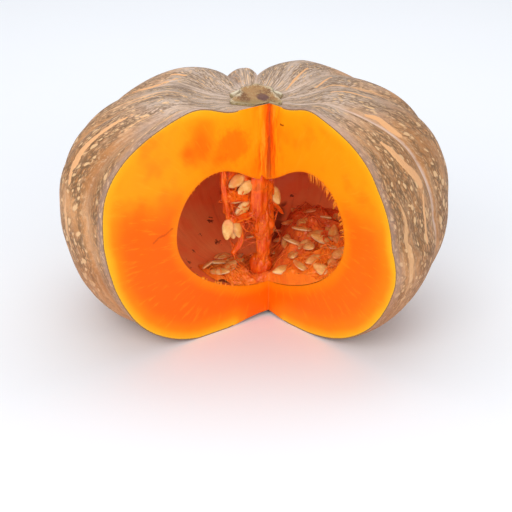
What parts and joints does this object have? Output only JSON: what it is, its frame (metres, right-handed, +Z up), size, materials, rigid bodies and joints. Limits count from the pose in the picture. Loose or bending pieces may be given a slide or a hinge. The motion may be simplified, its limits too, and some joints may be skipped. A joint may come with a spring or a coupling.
{
  "type": "cut pumpkin",
  "caption": "Ribbed pumpkin with a wedge cut out, showing thick orange flesh, a hollow with stringy pulp and seeds, and a short corky stem; stands as food or decor.",
  "frame": {"origin": "under the middle of the cut fruit's bounding box, on the surface it stands on", "axes": "+Z up, from the blossom end to the stem; +X across the cut, to its right as one looks into it; the wedge opens to -Y"},
  "size_m": [0.2686, 0.2298, 0.1665],
  "materials": {
    "rind_and_flesh": "satin",
    "stem": "rough",
    "pulp": "moist"
  },
  "bodies": {
    "root": {"pumpkin_body": "rind_and_flesh", "stem": "stem", "pulp_core": "pulp", "pulp_bed": "pulp"}
  },
  "joints": []
}
